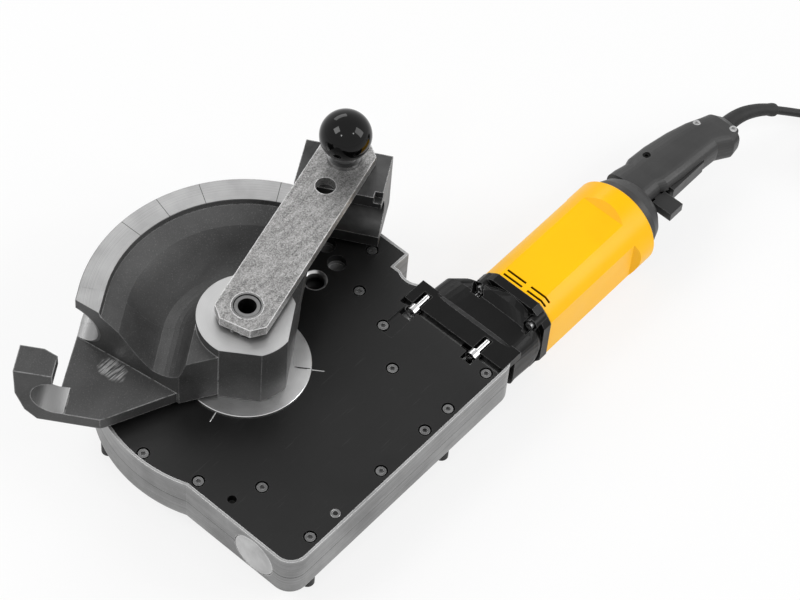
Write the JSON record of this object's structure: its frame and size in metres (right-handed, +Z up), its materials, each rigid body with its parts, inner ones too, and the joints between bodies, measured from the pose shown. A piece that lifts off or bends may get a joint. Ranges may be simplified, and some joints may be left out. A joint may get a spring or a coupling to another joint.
{
  "type": "electric pipe bender",
  "caption": "Bench pipe bender: a geared electric motor turns a grooved bending former against a swivelling back former held by a support lever and a lock pin with a ball knob.",
  "frame": {"origin": "on the spindle axis, level with the top of the black plate", "axes": "+Z up along the spindle, +X along the motor and away from the case, +Y to the far side, where the former is"},
  "size_m": [0.835, 0.4799, 0.207],
  "materials": {
    "cast_case": "grey cast, fine grain",
    "black_plate": "black, satin",
    "black_casting": "black paint on a casting, satin",
    "steel": "turned or ground, bright",
    "lever_steel": "milled, satin",
    "dark_steel": "dark, oiled",
    "back_steel": "blackened, with worn bright edges",
    "former_iron": "dark cast skin, machined faces",
    "bronze": "turned bronze",
    "copper": "enamelled copper",
    "contact_brass": "pressed brass",
    "carbon": "carbon, matt",
    "yellow_housing": "yellow, glossy",
    "black_plastic": "black, fine grain",
    "knob_plastic": "black, polished",
    "trigger_plastic": "black, smooth",
    "rubber": "black, matt"
  },
  "bodies": {
    "base": {"case_lower": "cast_case", "case_upper": "cast_case", "case_screws": "steel", "feet": "rubber", "foot_screws": "steel", "top_plate": "black_plate", "plate_screws": "steel", "bore_plug": "cast_case", "pin_bushes": "steel", "spindle_bushes": "bronze", "spindle_seal": "rubber", "worm_bearings": "steel", "motor_adapter": "black_casting", "adapter_screws": "steel", "layshaft_bearings": "steel", "armature_bearings": "steel", "motor_housing": "yellow_housing", "motor_screws": "steel", "stator": "dark_steel", "field_coils": "copper", "brush_holders": "contact_brass", "brushes": "carbon", "brush_springs": "steel", "rear_cover": "black_plastic", "handle_shell_upper": "black_plastic", "handle_shell_lower": "black_plastic", "handle_screws": "steel", "switch_body": "black_plastic", "trigger_pin": "steel", "strain_relief": "rubber", "cord": "rubber", "cord_coil": "rubber", "plug": "rubber", "plug_pins": "steel"},
    "drive": {"worm_wheel_rim": "bronze", "worm_wheel_hub": "former_iron", "wheel_key": "dark_steel", "spindle": "steel", "drive_disc": "steel", "former": "former_iron", "retaining_ring": "dark_steel"},
    "worm": {"worm_shaft": "steel", "worm_shaft_gear": "steel"},
    "layshaft": {"layshaft": "steel", "layshaft_gear": "steel"},
    "armature": {"armature_shaft": "steel", "armature_core": "dark_steel", "commutator": "copper", "cooling_fan": "black_plastic"},
    "trigger": {"trigger": "trigger_plastic"},
    "direction_lever": {"direction_lever": "trigger_plastic"},
    "back_former": {"back_former": "back_steel", "back_former_bush": "bronze"},
    "lever": {"support_lever": "lever_steel", "lever_nose_bush": "steel", "lever_pin_bush": "steel"},
    "lock_pin": {"lock_pin": "steel", "ball_knob": "knob_plastic"}
  },
  "joints": [
    {"name": "armature_spin", "type": "hinge", "parent": "base", "child": "armature", "pos_m": [0.29, -0.122, -0.0245], "axis": [1, 0, 0], "range_deg": [-114999, 76667]},
    {"name": "layshaft_spin", "type": "hinge", "parent": "base", "child": "layshaft", "pos_m": [0.18, -0.095, -0.0245], "axis": [1, 0, 0], "range_deg": [-17429, 26141]},
    {"name": "worm_spin", "type": "hinge", "parent": "base", "child": "worm", "pos_m": [0, -0.122, -0.0245], "axis": [1, 0, 0], "range_deg": [-5945, 3965]},
    {"name": "drive_turn", "type": "hinge", "parent": "base", "child": "drive", "pos_m": [0, 0, 0], "axis": [0, 0, 1], "range_deg": [-72.2, 108.2]},
    {"name": "back_former_swivel", "type": "hinge", "parent": "base", "child": "back_former", "pos_m": [0.16937, 0.04602, 0], "axis": [0, 0, 1], "range_deg": [-15, 0]},
    {"name": "lever_lift", "type": "slide", "parent": "base", "child": "lever", "axis": [0, 0, 1], "range_m": [0, 0.02]},
    {"name": "lock_pin_lift", "type": "slide", "parent": "lever", "child": "lock_pin", "axis": [0, 0, 1], "range_m": [0, 0.11]},
    {"name": "trigger_squeeze", "type": "hinge", "parent": "base", "child": "trigger", "pos_m": [0.447, -0.13318, -0.0245], "axis": [0, 0, -1], "range_deg": [0, 4.2], "stiffness_Nm_per_rad": 0.6, "springref_deg": -5.73},
    {"name": "direction_switch", "type": "hinge", "parent": "base", "child": "direction_lever", "pos_m": [0.3935, -0.122, -0.0245], "axis": [0, 0, 1], "range_deg": [-8, 8]}
  ],
  "couplings": [
    {"joint": "layshaft_spin", "follows": "armature_spin", "ratio": -0.22727},
    {"joint": "worm_spin", "follows": "armature_spin", "ratio": 0.051653},
    {"joint": "drive_turn", "follows": "armature_spin", "ratio": -0.00093914}
  ]
}
